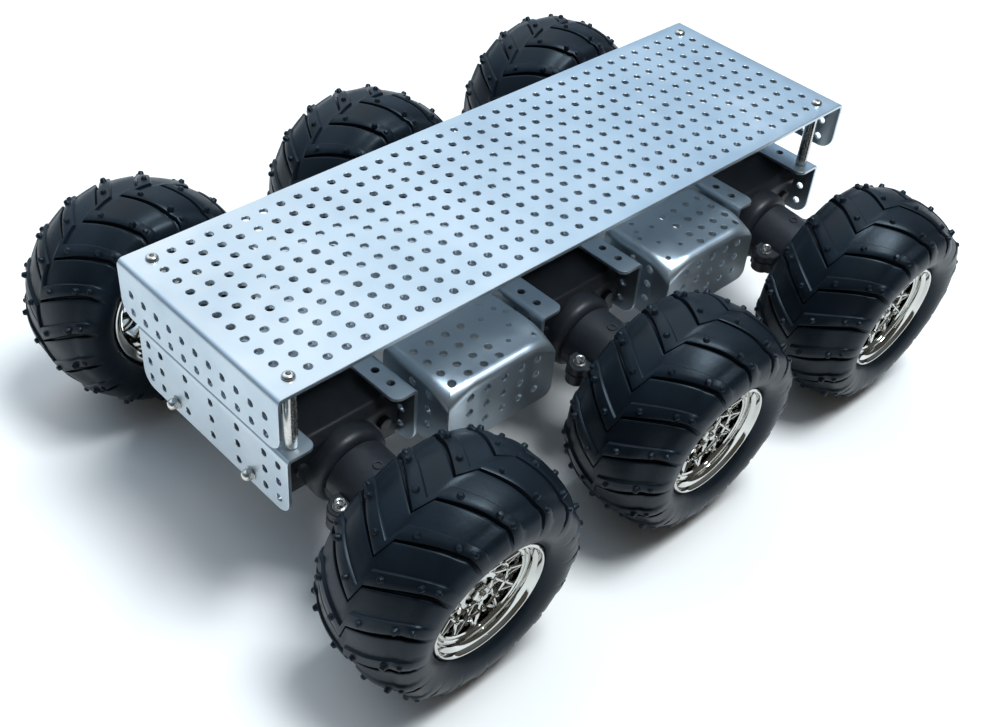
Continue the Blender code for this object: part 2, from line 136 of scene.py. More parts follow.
def make_materials():
    out = {}
    a = Mat("satin_aluminium")
    a.set(Metallic=0.95)
    cloud = a.noise(13, 3, 0.6)
    a.link(a.ramp(cloud, [(0.28, (0.42, 0.50, 0.57)), (0.5, (0.52, 0.60, 0.66)), (0.72, (0.62, 0.68, 0.73))]), "Base Color")
    a.link(a.ramp(a.noise(60, 5, 0.6), [(0.3, 0.30), (0.7, 0.43)]), "Roughness")
    a.bump((a.noise(260, 2, 0.5, (0.12, 1, 1)), 0.06, 0.0003), (a.noise(1600, 2), 0.05, 0.0001))
    out["alu"] = a.m
    s = Mat("zinc_steel")
    s.set(Metallic=1.0)
    s.link(s.ramp(s.noise(140, 4), [(0.3, (0.50, 0.49, 0.45)), (0.7, (0.70, 0.70, 0.68))]), "Base Color")
    s.link(s.ramp(s.noise(320, 3), [(0.3, 0.18), (0.7, 0.33)]), "Roughness")
    s.bump((s.noise(900, 2), 0.08, 0.0001))
    out["steel"] = s.m
    w = Mat("spring_wire")
    w.set(Metallic=1.0)
    w.link(w.ramp(w.noise(300, 3), [(0.3, (0.30, 0.30, 0.31)), (0.7, (0.46, 0.46, 0.47))]), "Base Color")
    w.link(w.ramp(w.noise(500, 2), [(0.3, 0.25), (0.7, 0.4)]), "Roughness")
    out["spring"] = w.m
    c = Mat("motor_plate")
    c.set(Metallic=1.0)
    c.link(c.ramp(c.noise(90, 4), [(0.3, (0.42, 0.42, 0.42)), (0.7, (0.58, 0.58, 0.57))]), "Base Color")
    c.link(c.ramp(c.noise(700, 2, 0.5, (1, 0.1, 1)), [(0.3, 0.25), (0.7, 0.42)]), "Roughness")
    out["can"] = c.m
    p = Mat("moulded_black")
    p.set(Metallic=0.0, Specular_IOR_Level=0.36)
    p.link(p.ramp(p.noise(40, 4), [(0.3, (0.012, 0.014, 0.018)), (0.7, (0.022, 0.025, 0.031))]), "Base Color")
    p.link(p.ramp(p.noise(220, 4), [(0.3, 0.34), (0.7, 0.50)]), "Roughness")
    p.bump((p.noise(1500, 3), 0.18, 0.00015))
    out["plastic"] = p.m
    r = Mat("tyre_rubber")
    r.set(Metallic=0.0, Specular_IOR_Level=0.20, Specular_Tint=(0.72, 0.88, 1.0))
    r.link(r.ramp(r.noise(28, 5), [(0.25, (0.003, 0.005, 0.008)), (0.55, (0.006, 0.010, 0.015)), (0.8, (0.012, 0.018, 0.026))]), "Base Color")
    r.link(r.ramp(r.noise(70, 5, 0.6), [(0.3, 0.31), (0.7, 0.43)]), "Roughness")
    r.bump((r.noise(420, 4), 0.20, 0.0003), (r.noise(1800, 2), 0.12, 0.0001))
    out["rubber"] = r.m
    k = Mat("mirror_chrome")
    k.set(Metallic=1.0)
    k.link(k.ramp(k.noise(50, 3), [(0.3, (0.50, 0.50, 0.47)), (0.7, (0.64, 0.64, 0.61))]), "Base Color")
    k.link(k.ramp(k.noise(240, 3), [(0.35, 0.04), (0.75, 0.11)]), "Roughness")
    k.bump((k.noise(120, 2), 0.05, 0.0004))
    out["chrome"] = k.m
    return out


M = make_materials()


# ------------------------------------------------------------------ mesh helpers
def make(name, verts, faces, mat, place=None, angle=32):
    """verts in mm, in the piece's own frame; place is a matrix in mm."""
    me = bpy.data.meshes.new(name)
    me.from_pydata([tuple(v) for v in verts], [], faces)
    if place is not None:
        me.transform(place)
    me.transform(Matrix.Scale(MM, 4))
    bm = bmesh.new()
    bm.from_mesh(me)
    bmesh.ops.recalc_face_normals(bm, faces=bm.faces)
    bm.to_mesh(me)
    bm.free()
    me.materials.append(M[mat])
    me.shade_smooth()
    me.set_sharp_from_angle(angle=math.radians(angle))
    ob = bpy.data.objects.new(name, me)
    SC.collection.objects.link(ob)
    return ob


class Shape:
    """A few closed solids gathered into one mesh."""
    def __init__(self):
        self.v, self.f = [], []

    def add(self, verts, faces):
        n = len(self.v)
        self.v += [tuple(v) for v in verts]
        self.f += [tuple(i + n for i in f) for f in faces]

    def bm(self, bm, m=None):
        if m is not None:
            bm.transform(m)
        bm.verts.index_update()
        self.add([v.co[:] for v in bm.verts], [[v.index for v in f.verts] for f in bm.faces])
        bm.free()

    def box(self, x0, x1, y0, y1, z0, z1, bevel=0.6, seg=2):
        bm = bmesh.new()
        bmesh.ops.create_cube(bm, size=1.0)
        bm.transform(Matrix.Translation(((x0 + x1) / 2, (y0 + y1) / 2, (z0 + z1) / 2))
                     @ Matrix.Diagonal((x1 - x0, y1 - y0, z1 - z0, 1)))
        if bevel:
            bmesh.ops.bevel(bm, geom=bm.edges[:], offset=bevel, segments=seg, profile=0.5, affect="EDGES")
        self.bm(bm)

    def rings(self, rings, p0=(0, 0, 0), axis=(0, 0, 1), n=32, turn=0.0, closed=False):
        """Rings of (radius, height, kind) along axis from p0. kind c is round and h is hexagonal."""
        q = Vector((0, 0, 1)).rotation_difference(Vector(axis)).to_matrix()
        p0 = Vector(p0)
        verts, faces, idx = [], [], []
        for ring in rings:
            r, h = ring[0], ring[1]
            kind = ring[2] if len(ring) > 2 else "c"
            if r <= 1e-6:
                idx.append([len(verts)])
                verts.append(p0 + q @ Vector((0, 0, h)))
                continue
            row = []
            for k in range(n):
                t = 2 * PI * k / n
                rr = r
                if kind == "h":
                    rr = r * math.cos(PI / 6) / math.cos((t % (PI / 3)) - PI / 6)
                row.append(len(verts))
                verts.append(p0 + q @ Vector((rr * math.cos(t + turn), rr * math.sin(t + turn), h)))
            idx.append(row)
        pairs = list(zip(idx, idx[1:]))
        if closed:
            pairs.append((idx[-1], idx[0]))
        for a, b in pairs:
            for k in range(n):
                j = (k + 1) % n
                if len(a) == 1 and len(b) == 1:
                    continue
                if len(a) == 1:
                    faces.append((a[0], b[j], b[k]))
                elif len(b) == 1:
                    faces.append((a[k], a[j], b[0]))
                else:
                    faces.append((a[k], a[j], b[j], b[k]))
        self.add(verts, faces)

    def rod(self, p0, p1, r, b=0.4, n=32, kind="c", turn=0.0):
        d = Vector(p1) - Vector(p0)
        h = d.length
        self.rings([(0, 0), (r - b, 0, kind), (r, b, kind), (r, h - b, kind), (r - b, h, kind), (0, h)], p0, d.normalized(), n, turn)

    def cap_screw(self, p, axis, r=2.75, h=3.0):
        """Socket-head cap screw, its head standing on p."""
        self.rings([(0, 0), (r - 0.1, 0), (r, 0.2), (r, h - 0.45), (r - 0.4, h), (r * 0.62, h), (r * 0.56, h - 0.15, "h"),
                    (r * 0.54, h - 1.6, "h"), (0, h - 1.75)], p, axis, 24)

    def make(self, name, mat, place=None, angle=32):
        return make(name, self.v, self.f, mat, place, angle)


# ------------------------------------------------------------------ folded sheet
def arc2(cx, cy, r, a0, a1, n=5):
    return [(cx + r * math.cos(math.radians(a0 + (a1 - a0) * k / n)),
             cy + r * math.sin(math.radians(a0 + (a1 - a0) * k / n))) for k in range(n + 1)]


def inside(px, py, poly):
    x, y = poly[:, 0], poly[:, 1]
    x2, y2 = np.roll(x, -1), np.roll(y, -1)
    c = np.zeros(len(px), bool)
    for a, b, d, e in zip(x, y, x2, y2):
        if b == e:
            continue
        c ^= ((b > py) != (e > py)) & (px < (d - a) * (py - b) / (e - b) + a)
    return c


def folded(name, outline, holes, lines, fold, mat="alu", t=SHEET, b=0.22, sides=14):
    """A sheet cut to outline with round holes (u, v, r), and folded by fold(u, v, w); w is the depth below the outer face."""
    verts, edges = [Vector(p) for p in outline], []
    n = len(outline)
    edges += [(k, (k + 1) % n) for k in range(n)]
    for hu, hv, hr in holes:
        s = len(verts)
        verts += [Vector((hu + hr * math.cos(2 * PI * (k + 0.5) / sides), hv + hr * math.sin(2 * PI * (k + 0.5) / sides))) for k in range(sides)]
        edges += [(s + k, s + (k + 1) % sides) for k in range(sides)]
    for p, q in lines:
        s = len(verts)
        verts += [Vector(p), Vector(q)]
        edges.append((s, s + 1))
    vs, _, fs, _, _, _ = delaunay_2d_cdt(verts, edges, [], 0, 1e-5)
    P = np.array([v[:] for v in vs])
    T = np.array([f[:] for f in fs])
    C = P[T].mean(1)
    keep = inside(C[:, 0], C[:, 1], np.array(outline, float))
    for hu, hv, hr in holes:
        keep &= (C[:, 0] - hu) ** 2 + (C[:, 1] - hv) ** 2 > (hr * math.cos(PI / sides)) ** 2 * 0.999
    T = T[keep]
    area = np.cross(P[T[:, 1]] - P[T[:, 0]], P[T[:, 2]] - P[T[:, 0]])
    T[area < 0] = T[area < 0][:, ::-1]
    T = T[np.abs(area) > 1e-9]
    count, order = {}, {}
    for f in T:
        for i in range(3):
            e = (int(f[i]), int(f[(i + 1) % 3]))
            count[frozenset(e)] = count.get(frozenset(e), 0) + 1
            order[frozenset(e)] = e
    rim = [order[k] for k, c in count.items() if c == 1]
    out = {}
    for a, c in rim:
        d = P[c] - P[a]
        nrm = np.array([d[1], -d[0]]) / (np.linalg.norm(d) or 1)
        out.setdefault(a, []).append(nrm)
        out.setdefault(c, []).append(nrm)
    inset = P.copy()
    for i, ns in out.items():
        s = np.sum(ns, 0)
        l = np.linalg.norm(s)
        if l > 0.2:
            s /= l
            inset[i] = P[i] - s * b / max(float(s @ ns[0]), 0.5)
    used = sorted(set(T.ravel().tolist()))
    new = {o: k for k, o in enumerate(used)}
    V = [fold(*inset[o], 0.0) for o in used] + [fold(*inset[o], -t) for o in used]
    nu = len(used)
    F = [tuple(new[int(i)] for i in f) for f in T] + [tuple(nu + new[int(i)] for i in f[::-1]) for f in T]
    w = {}
    for o in out:
        w[o] = len(V)
        V += [fold(*P[o], -b), fold(*P[o], -t + b)]
    for a, c in rim:
        A, B = new[a], new[c]
        F += [(B, A, w[a], w[c]), (w[c], w[a], w[a] + 1, w[c] + 1), (w[c] + 1, w[a] + 1, nu + A, nu + B)]
    return make(name, V, F, mat, angle=28)


def bend(d, r, w):
    """Distance past a bend line to (run past the line, drop below the face), for the point w off the outer face."""
    q = r * PI / 2
    if d <= q:
        return (r + w) * math.sin(d / r), r - (r + w) * math.cos(d / r)
    return r + w, r + d - q


def bend_lines(at, sign, r, v0, v1, steps=6):
    q = r * PI / 2
    return [((at + sign * q * k / steps, v0), (at + sign * q * k / steps, v1)) for k in range(steps + 1)]


def top_plate():
    r = 3.2
    xb = TOP_HX - r
    ue = xb + r * PI / 2 + (TOP_Z - r - FLANGE_Z)
    c = 8.0
    outline = arc2(ue - c, -TOP_HY + c, c, -90, 0) + arc2(ue - c, TOP_HY - c, c, 0, 90) \
        + arc2(-ue + c, TOP_HY - c, c, 90, 180) + arc2(-ue + c, -TOP_HY + c, c, 180, 270)
    holes = []
    for i in range(-18, 19):
        for j in range(-5, 6):
            holes.append((i * 10.0, j * 10.0, 1.8 if abs(i) == 18 and abs(j) == 5 else 2.0))
    for s in (-1, 1):
        for zz in (14.5, 24.5):
            if TOP_Z - zz - 3.5 < FLANGE_Z:
                continue
            for j in range(-5, 6):
                holes.append((s * (xb + r * PI / 2 + zz - r), j * 10.0, 2.0))
    lines = []
    for s in (-1, 1):
        lines += bend_lines(s * xb, s, r, -TOP_HY, TOP_HY)

    def fold(u, v, w):
        a = abs(u)
        if a <= xb:
            return (u, v, TOP_Z + w)
        run, drop = bend(a - xb, r, w)
        return (math.copysign(xb + run, u), v, TOP_Z - drop)
    ob = folded("top_sheet", outline, holes, lines, fold)
    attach(ob, "chassis")
    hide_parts("top_plate")


def bracket(tag, x0, x1, bay):
    r = 2.6
    ub0, ub1 = x0 + r, x1 - r
    q = r * PI / 2
    e = BR_TOP - r - LOW_Z
    a, b2 = ub0 - q - e, ub1 + q + e
    h, c, bx0, bx1, by, tc = BR_HY, 8.0, bay - 21.5, bay + 21.5, 25.0, 4.5
    right = arc2(b2 - c, -h + c, c, -90, 0) + arc2(b2 - c, h - c, c, 0, 90)
    upper = [(bx1 + tc, h)] + arc2(bx1 + tc, h - tc, tc, 90, 180)[1:] + [(bx1, by), (bx0, by)] \
        + arc2(bx0 - tc, h - tc, tc, 0, 90)
    left = arc2(a + c, h - c, c, 90, 180) + arc2(a + c, -h + c, c, 180, 270)
    lower = [(u, -v) for u, v in reversed(upper)]
    outline = right + upper + left + lower
    holes = []
    end = []
    for side, base, sg in ((-1, ub0 - q, -1), (1, ub1 + q, 1)):
        plate_end = (tag == "front" and side < 0) or (tag == "rear" and side > 0)
        at = lambda z, base=base, sg=sg: base + sg * (BR_TOP - r - z)
        for zz in (46.5, 56.5, 66.5):
            z = TOP_Z - zz
            for y in ((50, 40, 20, 0, -20, -40, -50) if plate_end else (48, 38, 0, -38, -48)):
                if abs(abs(y) - PIVOT_Y) > 6.5:
                    holes.append((at(z), float(y), 2.0))
        for sy in (-1, 1):
            holes.append((at(PIVOT_Z), sy * PIVOT_Y, 1.8))
    mids = {"front": (x0 + 7.5, x1 - 6.9), "mid": (x0 + 6.9, x1 - 6.9), "rear": (x0 + 6.9, x1 - 7.5)}[tag]
    for m in mids:
        for y in (35, 46, -35, -46):
            if tag != "mid" and abs(m) > 175 and abs(y) == 46:
                continue
            holes.append((m, float(y), 2.0))
    for sx in {"front": (-180.0,), "mid": (), "rear": (180.0,)}[tag]:
        for y in (-50.0, 50.0):
            holes.append((sx, y, 1.8))
    for xx in (bay - 10, bay + 10):
        for y in (-15.0, 0.0, 15.0):
            holes.append((xx, y, 2.0))
    lines = bend_lines(ub0, -1, r, -h, h) + bend_lines(ub1, 1, r, -h, h)

    def fold(u, v, w):
        if u < ub0:
            run, drop = bend(ub0 - u, r, w)
            return (ub0 - run, v, BR_TOP - drop)
        if u > ub1:
            run, drop = bend(u - ub1, r, w)
            return (ub1 + run, v, BR_TOP - drop)
        return (u, v, BR_TOP + w)
    ob = folded(f"bracket_sheet_{tag}", outline, holes, lines, fold)
    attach(ob, "chassis")
    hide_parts(f"axle_bracket_{tag}")


def deck():
    r, seam = 5.0, 0.25
    q = r * PI / 2
    xa, xc, yb = POD_X0 + r, POD_X1 - r, POD_Y - r
    e = DECK_Z - r - LOW_Z
    c = 5.0
    y0 = 26.0
    th = [PI / 2 * k / 6 for k in range(7)]
    quad = [(xa, 24.0), (xa, y0)]
    ui = xa - q - e
    quad += arc2(ui + c, y0 + c, c, 270, 180)
    quad += arc2(ui + c, POD_Y - seam - c, c, 180, 90)
    quad += [(xa - r * t, yb + r * math.sin(t) - seam * math.sin(t)) for t in reversed(th)]
    quad += [(xa - r * math.sin(t) + seam * math.sin(t), yb + r * t) for t in th[1:]]
    ve = yb + q + e
    quad += arc2(POD_X0 + seam + c, ve - c, c, 180, 90)
    quad += arc2(POD_X1 - seam - c, ve - c, c, 90, 0)
    quad += [(xc + r * math.sin(t) - seam * math.sin(t), yb + r * t) for t in reversed(th)]
    quad += [(xc + r * t, yb + r * math.sin(t) - seam * math.sin(t)) for t in th[1:]]
    uo = xc + q + e
    quad += arc2(uo - c, POD_Y - seam - c, c, 90, 0)
    quad += arc2(uo - c, y0 + c, c, 0, -90)
    quad += [(xc, y0), (xc, 24.0), (DECK_HX, 24.0)]
    pp = quad
    pm = [(-u, v) for u, v in reversed(quad)]
    mm = [(-u, -v) for u, v in quad]
    mp = [(u, -v) for u, v in reversed(quad)]
    outline = [p for p in pp]
    outline = pm + pp + mp + mm
    clean = []
    for p in outline:
        if not clean or math.dist(p, clean[-1]) > 1e-4:
            clean.append(p)
    outline = clean
    holes, lines = [], []
    for sx in (-1, 1):
        for sy in (-1, 1):
            for x in (72.4, 82.2, 92.0, 101.8):
                for y in (38.2, 47.8, 57.0, 64.6):
                    holes.append((sx * x, sy * y, 2.0))
            for x, y in ((54.5, 32.1), (61.4, 40.5), (51.2, 38.4), (48.2, 43.6), (53.8, 51.6), (62.0, 59.7), (48.4, 63.2)):
                holes.append((sx * x, sy * y, 1.25))
            for i in range(5):
                for zz in (44.4, 53.9, 63.4):
                    z = TOP_Z - zz
                    holes.append((sx * (54.0 + 10.6 * i), sy * (yb + q + (DECK_Z - r - z)), 2.0))
            for zz in (44.4, 53.9, 63.4):
                z = TOP_Z - zz
                for y in (47.0, 58.5):
                    holes.append((sx * (xa - q - (DECK_Z - r - z)), sy * y, 2.0))
                    holes.append((sx * (xc + q + (DECK_Z - r - z)), sy * y, 2.0))
            for at, sgn, end in ((xa, 1, xa - q - e), (xc, -1, xc + q + e)):
                for k in range(9):
                    vv = yb + 4.0 - 2.3 * k
                    lines.append(((sx * (at + sgn * 15.0), sy * vv), (sx * (end + sgn * 0.2), sy * vv)))
                for k in range(7):
                    uu = at + sgn * 2.3 * k
                    lines.append(((sx * uu, sy * (yb - 15.0)), (sx * uu, sy * (yb + q + e - 0.2))))
            for k, t in enumerate(th):
                yv = yb + (r - seam) * math.sin(t)
                lines.append(((sx * (xa - r * t), sy * y0), (sx * (xa - r * t), sy * yv)))
                lines.append(((sx * (xc + r * t), sy * y0), (sx * (xc + r * t), sy * yv)))
                lines.append(((sx * (xa - (r - seam) * math.sin(t)), sy * (yb + r * t)),
                              (sx * (xc + (r - seam) * math.sin(t)), sy * (yb + r * t))))
    for i in range(-17, 18):
        for y in (-15.0, 0.0, 15.0):
            holes.append((i * 10.0, y, 2.0))

    def droop(x, y, z):
        """Each pod's corners run down to a point between the two folds."""
        a = max(0.0, 1.0 - min(abs(POD_X1 - abs(x)), abs(abs(x) - POD_X0)) / 17.0)
        b = max(0.0, 1.0 - abs(POD_Y - abs(y)) / 17.0)
        k = min(max((z - DECK_Z + 27.0) / 27.0, 0.0), 1.0)
        return (x, y, z - 7.5 * (a * b) ** 1.6 * k)

    def fold(u, v, w):
        a, b = abs(u), abs(v)
        if b < 25.0:
            return (u, v, DECK_Z + w)
        dx, dirn, at = (xa - a, -1, xa) if a < (xa + xc) / 2 else (a - xc, 1, xc)
        dy = b - yb
        if dx <= 0 and dy <= 0:
            return droop(u, v, DECK_Z + w)
        if dx >= dy:
            run, drop = bend(dx, r, w)
            return droop(math.copysign(at + dirn * run, u), v, DECK_Z - drop)
        run, drop = bend(dy, r, w)
        return droop(u, math.copysign(yb + run, v), DECK_Z - drop)
    ob = folded("deck_sheet", outline, holes, lines, fold)
    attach(ob, "chassis")
    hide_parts("deck_plate")


# ------------------------------------------------------------------ hardware
def hardware():
    for ex, sx in (("front", -1), ("rear", 1)):
        for ey, sy in (("right", -1), ("left", 1)):
            x, y = sx * 180.0, sy * 50.0
            s = Shape()
            z = TOP_Z + 0.15
            s.rings([(0, 0), (2.8, 0), (3.05, 0.25), (2.85, 0.9), (2.3, 1.45), (1.55, 1.75), (1.35, 1.75, "h"), (1.2, 1.6, "h"), (1.15, 0.5, "h"), (0, 0.4)],
                    (x, y, z), (0, 0, 1), 30, 0.3)
            s.rod((x, y, TOP_Z - 11.5), (x, y, z + 0.1), 1.4, 0.2, 16)
            ob = s.make(f"corner_screw_{ex}_{ey}", "steel")
            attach(ob, "chassis"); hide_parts(f"top_screw_{ex}_{ey}")
            s = Shape()
            s.rod((x, y, BR_TOP + 0.3), (x, y, TOP_Z - SHEET - 0.3), 3.1, 0.35, 28)
            s.rod((x, y, BR_TOP - 5.8), (x, y, BR_TOP + 1), 1.45, 0.2, 16)
            ob = s.make(f"pillar_{ex}_{ey}", "steel")
            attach(ob, "chassis"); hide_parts(f"standoff_{ex}_{ey}")
    end = 187.5
    for ey, sy in (("right", -1), ("left", 1)):
        y = sy * PIVOT_Y
        for name, node, d in ((f"long_bolt_{ey}", f"pivot_bolt_{ey}", -1), (f"cap_nut_{ey}", f"pivot_nut_{ey}", 1)):
            s = Shape()
            s.rings([(0, 0), (3.3, 0), (3.4, 0.1), (3.4, 0.45), (3.3, 0.55), (0, 0.55)], (d * (end + 0.1), y, PIVOT_Z), (d, 0, 0), 36)
            s.rings([(0, 0.5), (2.95, 0.5, "h"), (3.1, 0.7, "h"), (3.1, 2.3, "h"), (2.7, 2.6), (2.5, 3.5), (1.9, 4.3), (0.9, 4.7), (0, 4.8)],
                    (d * (end + 0.1), y, PIVOT_Z), (d, 0, 0), 36, 0.2)
            if d < 0:
                s.rod((-end + 1, y, PIVOT_Z), (end + 1, y, PIVOT_Z), 1.5, 0.2, 20)
            ob = s.make(name, "steel")
            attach(ob, "chassis"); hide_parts(node)


# ------------------------------------------------------------------ arms, wheels
def arm_place(tag):
    p = Vector(JOINT[f"arm_swing_{tag}"]["pos_m"]) / MM
    turn = Matrix.Identity(4) if p.y > 0 else Matrix.Rotation(PI, 4, "Z")
    return Matrix.Translation(p) @ turn @ Matrix.Rotation(-DROOP, 4, "X")


def wheel_place(tag):
    return arm_place(tag) @ Matrix.Translation((0, ARM, 0))


def half_shell(s, r_out, r_in, y0, y1, top, n=30, b=0.5):
    """Half of a tube along Y with wall edges eased."""
    sg = 1 if top else -1
    sec = [(r_in, y0), (r_in, y1), (r_out - b, y1), (r_out, y1 - b), (r_out, y0 + b), (r_out - b, y0)]
    rows = []
    for k in range(n + 1):
        t = PI * k / n
        rows.append([(r * math.cos(t), y, sg * (0.15 + r * math.sin(t))) for r, y in sec])
    verts = [p for row in rows for p in row]
    m = len(sec)
    faces = [(k * m + i, k * m + (i + 1) % m, (k + 1) * m + (i + 1) % m, (k + 1) * m + i) for k in range(n) for i in range(m)]
    faces += [tuple(range(m)), tuple(n * m + i for i in range(m))]
    s.add(verts, faces)


def lug(s, sx, top):
    """Ear beside the tube for one clamp screw."""
    z0, z1 = (0.15, 4.8) if top else (-6.8, -0.15)
    out = [(15.5, 34.5), (22, 34.8)] + arc2(21.5, 41.5, 5.2, -75, 75, 8) + [(22, 48.2), (15.5, 48.5)]
    n = len(out)
    rows = []
    for ins, z in ((0.5, z0), (0, z0 + 0.5), (0, z1 - 0.5), (0.5, z1)):
        cx, cy = 19.0, 41.5
        rows.append([(sx * (cx + (x - cx) * (1 - ins / 7)), cy + (y - cy) * (1 - ins / 7), z) for x, y in out])
    verts = [p for row in rows for p in row]
    faces = [(k * n + i, k * n + (i + 1) % n, (k + 1) * n + (i + 1) % n, (k + 1) * n + i) for k in range(3) for i in range(n)]
    faces += [tuple(range(n)), tuple(3 * n + i for i in range(n))]
    s.add(verts, faces)


def arm_meshes(tag):
    place = arm_place(tag)
    s = Shape()
    bm = bmesh.new()
    outline = [(-12, -1), (-7, -8), (8, -8), (17, -5), (17, 18), (13, 22), (-9, 22), (-12, 19)]
    ring = [bm.verts.new((-32, y, z)) for y, z in outline]
    f = bm.faces.new(ring)
    g = bmesh.ops.extrude_face_region(bm, geom=[f])
    bmesh.ops.translate(bm, vec=(64, 0, 0), verts=[v for v in g["geom"] if isinstance(v, bmesh.types.BMVert)])
    bmesh.ops.bevel(bm, geom=bm.edges[:], offset=1.1, segments=3, profile=0.5, affect="EDGES")
    s.bm(bm)
    s.rings([(0, 11), (18.5, 11), (20.0, 12.5), (20.3, 14.5), (20.3, 21.5), (19.9, 23.5), (18.6, 25.2), (17.2, 26), (0, 26)], (0, 0, 0), (0, 1, 0), 48)
    half_shell(s, 17.0, 12.8, 24.5, 58.5, False)
    for sx in (-1, 1):
        lug(s, sx, False)
        s.rings([(0, 0), (3.4, 0), (3.4, 1.6), (3.0, 2.0), (0, 2.0)], (sx * 23.5, 17.05, 8.5), (0, 1, 0), 20)
    s.box(-5, 5, -22, -10, -3.5, 0, 0.5)
    s.box(-1.3, 1.3, 26, 57, -18.4, -15.5, 0.4)
    ob = s.make(f"swing_arm_{tag}", "plastic", place)
    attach(ob, f"suspension_{tag}"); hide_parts(f"arm_{tag}")
    s = Shape()
    half_shell(s, 17.0, 12.8, 26.3, 58.5, True)
    for sx in (-1, 1):
        lug(s, sx, True)
    s.rings([(1.5, 0), (2.6, 0), (2.6, 0.6), (2.3, 0.9), (1.5, 0.9)], (0, 41, 16.7), (0, 0, 1), 24, closed=True)
    ob = s.make(f"tube_cap_{tag}", "plastic", place)
    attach(ob, f"suspension_{tag}"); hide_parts(f"motor_clamp_{tag}")
    s = Shape()
    for sx in (-1, 1):
        s.rings([(0, 0), (3.3, 0), (3.3, 0.5), (0, 0.5)], (sx * 21, 41.5, 4.8), (0, 0, 1), 24)
        s.cap_screw((sx * 21, 41.5, 5.3), (0, 0, 1))
    ob = s.make(f"clamp_screws_{tag}", "steel", place)
    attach(ob, f"suspension_{tag}")


NP = 16                  # tread blocks round the tyre


def tyre_mesh(mirror):
    """Tyre in the wheel's frame: two rows of blocks set half a pitch apart, each with a raised lug beside its groove, studs on the lugs."""
    ys = np.concatenate([np.linspace(-24.0, -3.0, 12), [-1.4, -0.5, 0.5, 1.4], np.linspace(3.0, 24.0, 12)])
    pitch = 2 * PI / NP
    mm = 1.0 / 22.6          # one millimetre of tread, as a share of the pitch
    lug, pad = 0.95, -0.15

    def profile(y):
        """(phase, height) round one pitch: groove floor, lug, step down, pad that rises a little to the next groove."""
        w = (1.3 + 1.5 * min(abs(y) / 24.0, 1.0)) * mm
        e = 0.35 * mm
        return ([0.0, e, w * 0.5, w - e, w, w + 0.5 * mm, 0.24, 0.375, 0.395, 0.42, 0.56, 0.70, 0.84, 0.95, 0.985],
                [pad + 0.45, -1.7, -1.95, -1.7, lug - 0.25, lug, lug + 0.15, lug, lug - 0.3, pad - 0.1, pad, pad + 0.15, pad + 0.35, pad + 0.6, pad + 0.62])

    def sweep(y):
        return (np.interp(y, [-1.4, 1.4], [-5.25, 5.25]) + 0.56 * np.abs(y)) / 58.0

    def crown(y):
        a = abs(y)
        return 57.6 - 0.0052 * a * a - 0.0000085 * a ** 4

    side = [(31.7, 24.6, 0.0), (32.4, 26.6, 0.0), (34.4, 28.9, 0.0), (37.6, 30.7, 0.0), (41.2, 31.4, 0.0), (44.6, 31.1, 0.12),
            (47.4, 30.0, 0.45), (49.6, 28.4, 0.75), (51.2, 26.4, 0.95)]
    prof = [(r, -y, f) for r, y, f in side] + [(crown(y), y, 1.0) for y in ys] + [(r, y, f) for r, y, f in reversed(side)]
    V, F = [], []
    A = NP * len(profile(0)[0])
    for r, y, fade in prof:
        ph, hh = profile(y)
        th = np.array([(k + q) * pitch for k in range(NP) for q in ph]) + sweep(np.clip(y, -27.5, 27.5))
        rr = r + np.tile(np.array(hh), NP) * fade
        tip = np.sign(y) * np.tile(np.array(hh), NP) * fade * min(max(abs(y) - 24.0, 0.0) / 6.0, 1.0) * 0.8
        for x_, t_, z_ in zip(rr * np.sin(th), tip, rr * np.cos(th)):
            V.append((x_, y + t_, z_))
    n = len(prof)
    for i in range(n - 1):
        for k in range(A):
            j = (k + 1) % A
            F.append((i * A + k, i * A + j, (i + 1) * A + j, (i + 1) * A + k))
    liner = [(28.2, 22.4), (50.0, 17.0), (50.0, -17.0), (28.2, -22.4)]
    base = len(V)
    for r, y in liner:
        ph, _ = profile(24.6)
        for t in [(k + q) * pitch + float(sweep(24.6 if y > 0 else -24.6)) for k in range(NP) for q in ph]:
            V.append((r * math.sin(t), y, r * math.cos(t)))
    chain = [(n - 1) * A] + [base + i * A for i in range(4)] + [0]
    for a0, b0 in zip(chain, chain[1:]):
        for k in range(A):
            j = (k + 1) % A
            F.append((a0 + k, a0 + j, b0 + j, b0 + k))
    s = Shape()
    s.add(V, F)

    def stud(y, ph, k, r0, r1, h, tilt=0.0, ra=None, y0=None):
        a = (k + ph) * pitch + float(sweep(np.clip(y, -27.5, 27.5)))
        ra = crown(y) if ra is None else ra
        c, si = math.cos(a), math.sin(a)
        d = Vector((si * math.cos(tilt), math.copysign(math.sin(tilt), y), c * math.cos(tilt)))
        p = Vector((ra * si, y if y0 is None else math.copysign(y0, y), ra * c)) - d * 0.8
        s.rings([(0, 0), (r0, 0), (r0 * 0.98, 1.5), (r0 * 0.86, 1.9), (r1 * 1.12, h + 0.5), (r1 * 0.8, h + 0.85), (0, h + 0.95)], p, d, 14)
    for k in range(NP):
        for sg in (-1, 1):
            stud(sg * 7.2, 0.225, k, 1.9, 1.15, 2.5)
            stud(sg * 21.4, 0.225, k, 2.0, 1.15, 2.9, 0.30)
            stud(sg * 27.0, 0.225, k, 2.0, 1.0, 2.4, 0.75, 50.4, 26.6)
    if mirror:
        s.v = [(-x, y, z) for x, y, z in s.v]
    ob = s.make("tyre_base_" + ("r" if mirror else "l"), "rubber", angle=34)
    return ob.data, ob


